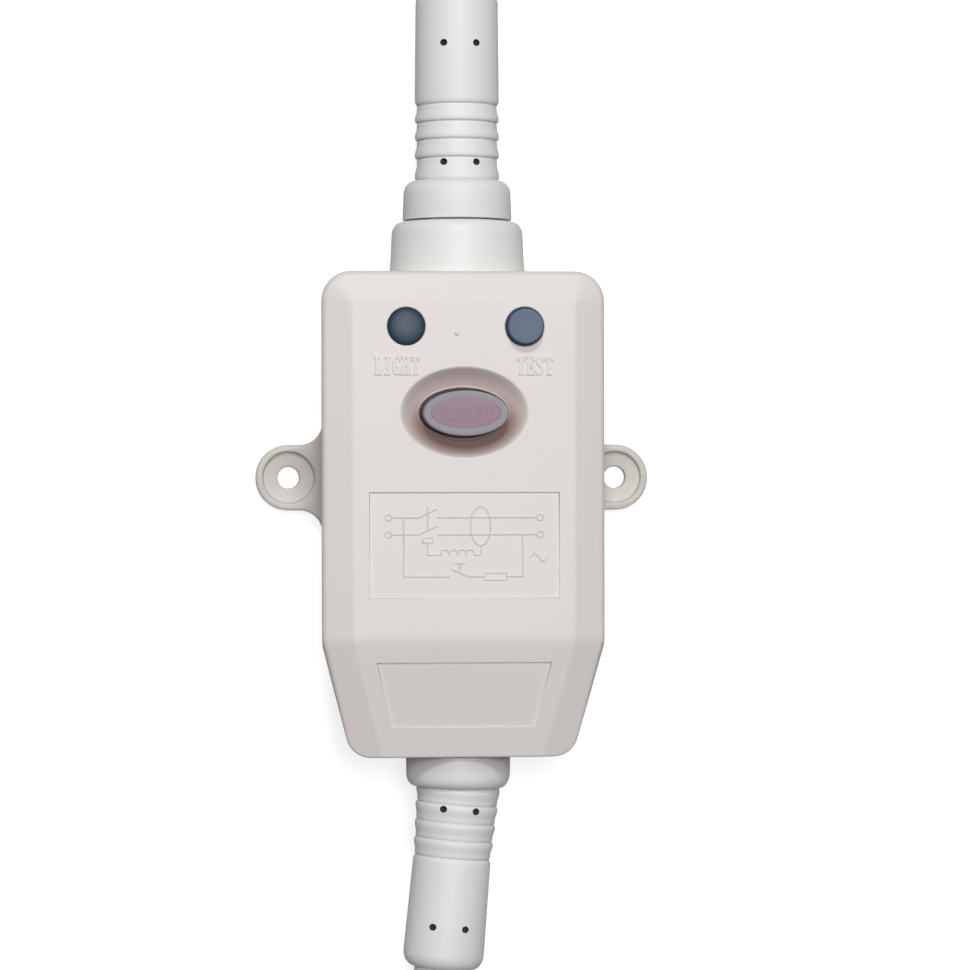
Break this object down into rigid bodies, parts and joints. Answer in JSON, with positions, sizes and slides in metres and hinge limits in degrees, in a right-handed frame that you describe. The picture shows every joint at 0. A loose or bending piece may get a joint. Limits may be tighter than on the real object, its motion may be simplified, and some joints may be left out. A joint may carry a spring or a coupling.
{
  "type": "in-line residual current device on a mains cable",
  "caption": "Hand-sized in-line residual-current box with test and reset buttons, indicator lens, screw ears, ribbed cable boots and a coiled mains lead with its plug.",
  "frame": {"origin": "centre of the underside of the box with its outlet collar and outlet boot, the supply cable left out", "axes": "+Z out of the front face with the buttons, +Y along the cable towards the outlet end, +X to the right when the front is read with the outlet end on top"},
  "size_m": [0.1399, 0.3666, 0.0392],
  "materials": {
    "case_plastic": "satin",
    "boot_plastic": "satin",
    "cable_jacket": "satin",
    "tie_band": "matt",
    "reset_rim": "satin",
    "reset_insert": "matt",
    "test_key": "gloss",
    "lens": "gloss",
    "lamp_glass": "gloss",
    "steel": "bright",
    "brass": "bright",
    "pin_metal": "nickel",
    "board": "satin",
    "black_plastic": "matt",
    "white_plastic": "matt",
    "terminal_plastic": "matt",
    "transformer_blue": "satin",
    "copper_winding": "enamelled",
    "capacitor_red": "gloss",
    "resistor_tan": "satin",
    "live_brown": "satin",
    "neutral_blue": "satin",
    "earth_green": "satin"
  },
  "bodies": {
    "case": {"carrier_spring": "steel", "case_screws": "steel", "circuit_board": "board", "clamp_screws": "steel", "contact_housing": "black_plastic", "control_chip": "black_plastic", "cord_clamp": "white_plastic", "cord_tie": "tie_band", "current_transformer": "transformer_blue", "earth_conductor": "earth_green", "earth_contact": "brass", "film_capacitor": "capacitor_red", "front_cover": "case_plastic", "indicator_lamp": "lamp_glass", "indicator_lens": "lens", "live_conductor": "live_brown", "neutral_conductor": "neutral_blue", "outlet_boot": "boot_plastic", "outlet_collar": "case_plastic", "outlet_contacts": "brass", "plug_body": "boot_plastic", "plug_earth_contacts": "pin_metal", "plug_pins": "pin_metal", "plunger_spring": "steel", "rear_cover": "case_plastic", "rectifier_diode": "black_plastic", "reset_spring": "steel", "resistors": "resistor_tan", "smoothing_capacitor": "black_plastic", "supply_boot": "boot_plastic", "supply_contacts": "brass", "supply_cord": "cable_jacket", "supply_cord_coil": "cable_jacket", "supply_cord_tail": "cable_jacket", "terminal_block": "terminal_plastic", "terminal_screws": "steel", "test_spring": "steel", "test_switch": "black_plastic", "transformer_cradle": "white_plastic", "trip_bobbin": "white_plastic", "trip_winding": "copper_winding", "trip_yoke": "steel", "varistor": "capacitor_red"},
    "reset": {"reset_button": "reset_rim", "reset_core": "reset_insert"},
    "contacts": {"contact_carrier": "white_plastic", "moving_contacts": "brass"},
    "test": {"test_button": "test_key"},
    "plunger": {"trip_plunger": "steel"}
  },
  "joints": [
    {"name": "reset_press", "type": "slide", "parent": "case", "child": "reset", "axis": [0, 0, -1], "range_m": [0, 0.0025], "stiffness_N_per_m": 400, "springref_m": -0.002, "deforming": ["reset_spring"]},
    {"name": "contact_move", "type": "slide", "parent": "case", "child": "contacts", "axis": [0, 0, -1], "range_m": [0, 0.00125], "stiffness_N_per_m": 300, "springref_m": -0.002, "deforming": ["carrier_spring"]},
    {"name": "test_press", "type": "slide", "parent": "case", "child": "test", "axis": [0, 0, -1], "range_m": [0, 0.0015], "stiffness_N_per_m": 300, "springref_m": -0.002, "deforming": ["test_spring"]},
    {"name": "trip_pull", "type": "slide", "parent": "case", "child": "plunger", "axis": [0, 0, -1], "range_m": [0, 0.002], "stiffness_N_per_m": 120, "springref_m": -0.001, "deforming": ["plunger_spring"]}
  ],
  "couplings": [
    {"joint": "contact_move", "follows": "reset_press", "ratio": 0.5}
  ]
}
